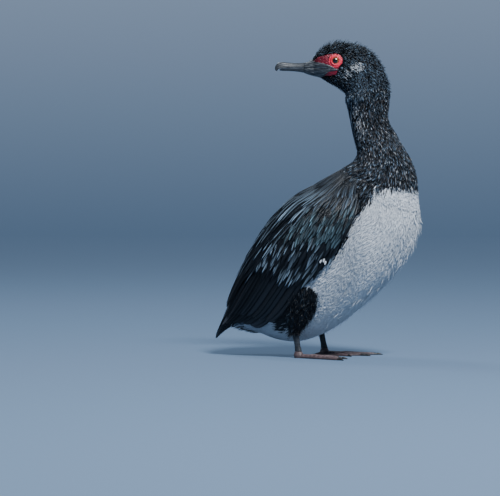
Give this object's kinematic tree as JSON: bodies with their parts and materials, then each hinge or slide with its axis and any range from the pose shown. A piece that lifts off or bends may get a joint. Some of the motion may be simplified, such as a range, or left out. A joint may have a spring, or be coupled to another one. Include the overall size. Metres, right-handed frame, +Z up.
{
  "type": "rock shag cormorant model",
  "caption": "Life-size still model of a rock shag, a small black and white cormorant, standing upright and looking back over its right shoulder.",
  "frame": {"origin": "on the floor, under the middle of the bounding box", "axes": "+X the way the body faces, +Y to the bird's left, +Z up"},
  "size_m": [0.3254, 0.1524, 0.4768],
  "materials": {
    "white_plumage": "matt",
    "neck_plumage": "satin",
    "black_plumage": "satin",
    "bill": "satin",
    "eye": "gloss",
    "red_skin": "satin",
    "leg_skin": "satin"
  },
  "bodies": {
    "root": {"torso": "white_plumage", "neck": "neck_plumage", "head": "black_plumage", "bill_upper": "bill", "bill_lower": "bill", "eye_left": "eye", "eye_right": "eye", "facial_skin_left": "red_skin", "facial_skin_right": "red_skin", "wing_left": "black_plumage", "wing_right": "black_plumage", "tail": "black_plumage", "thigh_left": "black_plumage", "thigh_right": "black_plumage", "shank_left": "leg_skin", "shank_right": "leg_skin", "foot_left": "leg_skin", "foot_right": "leg_skin"}
  },
  "joints": []
}
